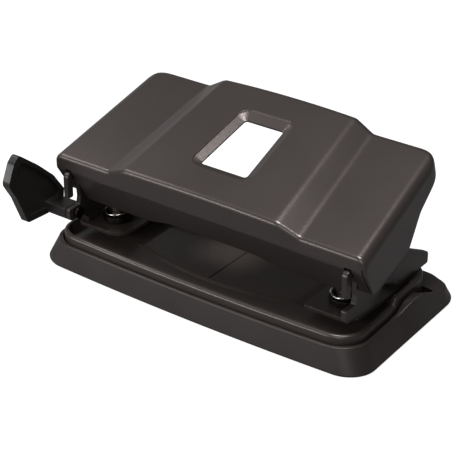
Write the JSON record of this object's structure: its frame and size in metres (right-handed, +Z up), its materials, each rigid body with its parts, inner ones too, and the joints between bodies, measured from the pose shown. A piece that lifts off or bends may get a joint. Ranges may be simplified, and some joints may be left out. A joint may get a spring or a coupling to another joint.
{
  "type": "hole punch",
  "caption": "Desktop two-hole paper punch with a sprung sheet-steel lever, swinging paper guide and clip-on chip tray.",
  "frame": {"origin": "centre of the chip tray's flat underside, on the table midway between the two punches", "axes": "+X along the object's length towards the user's right, +Y away from the paper side towards the high end of the lever, +Z up"},
  "size_m": [0.1158, 0.0669, 0.0515],
  "materials": {
    "lever_paint": "satin warm dark grey metallic paint",
    "frame_paint": "satin warm dark grey metallic paint",
    "base_paint": "satin dark brown-grey paint",
    "tray_plastic": "dark brown-grey moulded plastic, satin",
    "guide_plastic": "near-black moulded plastic, satin",
    "hardened_steel": "ground hardened steel",
    "spring_steel": "bright nickel-plated spring wire",
    "plated_steel": "dull zinc-plated steel"
  },
  "bodies": {
    "base": {"base_plate": "base_paint", "guide_pivot_pin": "plated_steel", "rivet_left_outer": "plated_steel", "rivet_left_inner": "plated_steel", "rivet_right_outer": "plated_steel", "rivet_right_inner": "plated_steel", "guide_plate_left": "base_paint", "side_frame_left": "frame_paint", "die_ring_left": "hardened_steel", "guide_bush_left": "plated_steel", "punch_spring_left": "spring_steel", "guide_plate_right": "base_paint", "side_frame_right": "frame_paint", "die_ring_right": "hardened_steel", "guide_bush_right": "plated_steel", "punch_spring_right": "spring_steel"},
    "lever": {"lever_hood": "lever_paint", "press_bracket_left": "plated_steel", "press_bracket_right": "plated_steel"},
    "punch_left": {"punch_pin_left": "hardened_steel", "spring_washer_left": "spring_steel"},
    "punch_right": {"punch_pin_right": "hardened_steel", "spring_washer_right": "spring_steel"},
    "guide": {"paper_guide": "guide_plastic"},
    "tray": {"chip_tray": "tray_plastic"}
  },
  "joints": [
    {"name": "lever_press", "type": "hinge", "parent": "base", "child": "lever", "pos_m": [0, -0.0123, 0.0281], "axis": [-1, 0, 0], "range_deg": [0, 17], "stiffness_Nm_per_rad": 0.5, "springref_deg": -17.19},
    {"name": "punch_left_slide", "type": "slide", "parent": "base", "child": "punch_left", "axis": [0, 0, -1], "range_m": [0, 0.0038], "deforming": ["punch_spring_left"]},
    {"name": "punch_right_slide", "type": "slide", "parent": "base", "child": "punch_right", "axis": [0, 0, -1], "range_m": [0, 0.0038], "deforming": ["punch_spring_right"]},
    {"name": "paper_guide_swing", "type": "hinge", "parent": "base", "child": "guide", "pos_m": [-0.054, -0.0102, 0.0153], "axis": [1, 0, 0], "range_deg": [0, 40]},
    {"name": "tray_open", "type": "hinge", "parent": "base", "child": "tray", "pos_m": [0, -0.0186, 0.008], "axis": [-1, 0, 0], "range_deg": [0, 55]}
  ],
  "couplings": [
    {"joint": "punch_left_slide", "follows": "lever_press", "m_per_rad": 0.0123},
    {"joint": "punch_right_slide", "follows": "lever_press", "m_per_rad": 0.0123}
  ]
}
